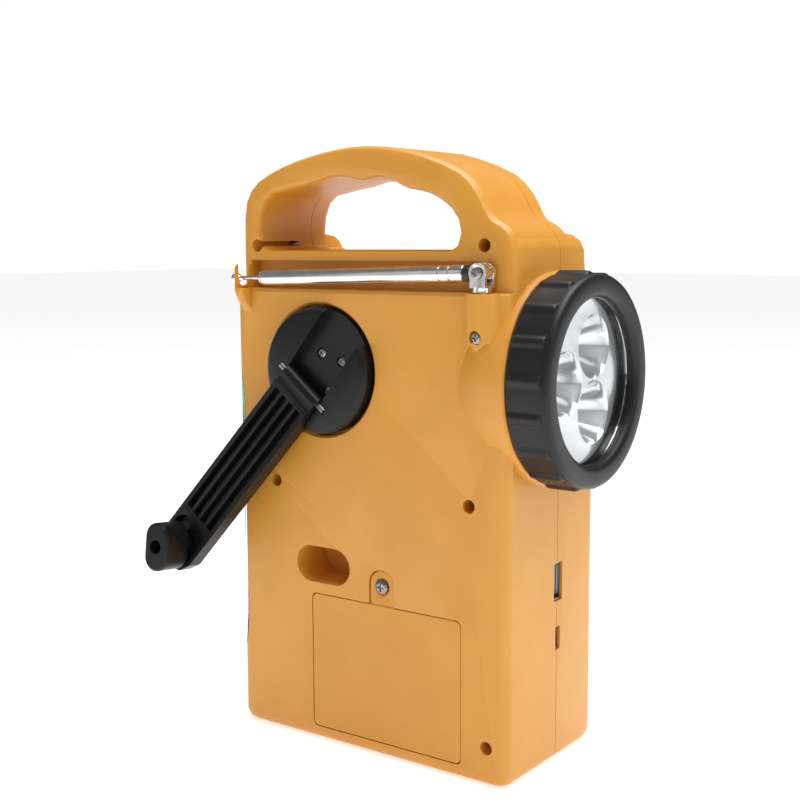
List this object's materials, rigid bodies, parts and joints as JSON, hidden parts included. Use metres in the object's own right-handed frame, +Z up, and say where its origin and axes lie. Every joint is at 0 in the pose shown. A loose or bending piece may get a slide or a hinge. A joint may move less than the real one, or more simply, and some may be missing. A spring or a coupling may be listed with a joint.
{
  "type": "hand-crank emergency radio",
  "caption": "Upright hand-crank radio with grip handle, folding crank, telescopic antenna, side torch, side lantern, battery door and charging sockets.",
  "frame": {"origin": "on the flat base, half way across the width of the body and 30 mm in front of the crank face", "axes": "+Z up, +Y out of the crank face, -Y out of the speaker face, -X out of the torch, +X towards the lantern"},
  "size_m": [0.1606, 0.1045, 0.2171],
  "materials": {
    "housing_orange": "satin orange ABS",
    "door_orange": "satin orange ABS",
    "crank_black": "satin black ABS",
    "bezel_black": "satin black ABS",
    "control_black": "satin black",
    "button_red": "satin red",
    "antenna_chrome": "polished",
    "screw_steel": "plated",
    "reflector_chrome": "mirror coated plastic",
    "clear_lens": "clear polycarbonate",
    "green_lens": "tinted polycarbonate",
    "led_board": "white board with lamps",
    "circuit_green": "solder mask",
    "socket_steel": "plated sheet",
    "cell_wrap": "shrink sleeve",
    "bay_black": "moulded",
    "gear_white": "acetal",
    "dynamo_metal": "plated can",
    "plate_grey": "moulded",
    "cone_black": "paper cone",
    "dial_white": "printed card"
  },
  "bodies": {
    "housing": {"rear_shell": "housing_orange", "front_shell": "housing_orange", "case_screw_1": "screw_steel", "case_screw_2": "screw_steel", "case_screw_3": "screw_steel", "case_screw_4": "screw_steel", "case_screw_5": "screw_steel", "battery_bay": "bay_black", "battery_cell_1": "cell_wrap", "battery_cell_2": "cell_wrap", "battery_cell_3": "cell_wrap", "antenna_swivel": "antenna_chrome", "antenna_post_screw": "screw_steel", "antenna_pivot_screw": "screw_steel", "gear_plate": "plate_grey", "dynamo_body": "dynamo_metal", "lamp_bezel": "bezel_black", "lamp_lens": "clear_lens", "lamp_reflector": "reflector_chrome", "lamp_led_board": "led_board", "lantern_lens": "clear_lens", "signal_lens": "green_lens", "lantern_reflector": "reflector_chrome", "lantern_led_board": "led_board", "main_board": "circuit_green", "usb_a_socket": "socket_steel", "micro_usb_socket": "socket_steel", "speaker_basket": "plate_grey", "speaker_cone": "cone_black", "tuning_capacitor": "dial_white", "volume_control": "plate_grey", "ferrite_rod": "plate_grey", "dial_window": "clear_lens", "dial_scale": "dial_white"},
    "door": {"battery_door": "door_orange", "battery_door_screw": "screw_steel"},
    "mast_outer": {"antenna_tube": "antenna_chrome"},
    "mast_middle": {"antenna_section_2": "antenna_chrome"},
    "mast_inner": {"antenna_section_3": "antenna_chrome"},
    "mast_rod": {"antenna_tip": "antenna_chrome"},
    "crank": {"crank_disc": "crank_black", "crank_disc_screw_1": "screw_steel", "crank_disc_screw_2": "screw_steel", "crank_disc_screw_3": "screw_steel", "crank_hinge_pin": "screw_steel", "crank_gear": "gear_white"},
    "arm": {"crank_arm": "crank_black", "crank_knob_screw": "screw_steel"},
    "grip": {"crank_knob": "crank_black"},
    "idler": {"idler_gear": "gear_white"},
    "rotor": {"dynamo_rotor": "dynamo_metal"},
    "tuning": {"tuning_knob": "control_black"},
    "pointer": {"dial_pointer": "button_red"},
    "volume": {"volume_knob": "control_black"},
    "band": {"band_switch": "control_black"},
    "light": {"light_switch": "control_black"},
    "siren": {"siren_button": "button_red"}
  },
  "joints": [
    {"name": "crank_spin", "type": "hinge", "parent": "housing", "child": "crank", "pos_m": [0.01885, 0.03, 0.1384], "axis": [0, 1, 0], "continuous": true},
    {"name": "crank_unfold", "type": "hinge", "parent": "crank", "child": "arm", "pos_m": [0.02392, 0.0342, 0.13209], "axis": [0.7793, 0, 0.6266], "range_deg": [0, 150]},
    {"name": "crank_knob_spin", "type": "hinge", "parent": "arm", "child": "grip", "pos_m": [0.07325, 0.04667, 0.07074], "axis": [-0.098, 0.9877, 0.1219], "continuous": true},
    {"name": "idler_spin", "type": "hinge", "parent": "housing", "child": "idler", "pos_m": [-0.00501, 0.015, 0.13201], "axis": [0, 1, 0], "continuous": true},
    {"name": "dynamo_spin", "type": "hinge", "parent": "housing", "child": "rotor", "pos_m": [-0.01731, 0.01, 0.11444], "axis": [0, 1, 0], "continuous": true},
    {"name": "antenna_lift", "type": "hinge", "parent": "housing", "child": "mast_outer", "pos_m": [-0.04975, 0.0305, 0.1738], "axis": [0, -1, 0], "range_deg": [0, 120]},
    {"name": "antenna_slide_2", "type": "slide", "parent": "mast_outer", "child": "mast_middle", "axis": [0.9996, 0, -0.0279], "range_m": [0, 0.07]},
    {"name": "antenna_slide_3", "type": "slide", "parent": "mast_middle", "child": "mast_inner", "axis": [0.9996, 0, -0.0279], "range_m": [0, 0.07]},
    {"name": "antenna_slide_tip", "type": "slide", "parent": "mast_inner", "child": "mast_rod", "axis": [0.9996, 0, -0.0279], "range_m": [0, 0.07]},
    {"name": "battery_door_lift", "type": "slide", "parent": "housing", "child": "door", "axis": [0, 1, 0], "range_m": [0, 0.02]},
    {"name": "tuning_turn", "type": "hinge", "parent": "housing", "child": "tuning", "pos_m": [0.024, -0.03, 0.142], "axis": [0, 1, 0], "range_deg": [0, 330]},
    {"name": "pointer_travel", "type": "slide", "parent": "housing", "child": "pointer", "axis": [1, 0, 0], "range_m": [0, 0.054]},
    {"name": "volume_turn", "type": "hinge", "parent": "housing", "child": "volume", "pos_m": [-0.012, -0.03, 0.142], "axis": [0, 1, 0], "range_deg": [0, 300]},
    {"name": "band_slide", "type": "slide", "parent": "housing", "child": "band", "axis": [1, 0, 0], "range_m": [0, 0.0084]},
    {"name": "light_slide", "type": "slide", "parent": "housing", "child": "light", "axis": [1, 0, 0], "range_m": [0, 0.0084]},
    {"name": "siren_press", "type": "slide", "parent": "housing", "child": "siren", "axis": [0, 1, 0], "range_m": [0, 0.0015], "stiffness_N_per_m": 400}
  ],
  "couplings": [
    {"joint": "idler_spin", "follows": "crank_spin", "ratio": -2.8},
    {"joint": "dynamo_spin", "follows": "crank_spin", "ratio": 7.4667},
    {"joint": "pointer_travel", "follows": "tuning_turn", "m_per_rad": 0.0093757}
  ]
}
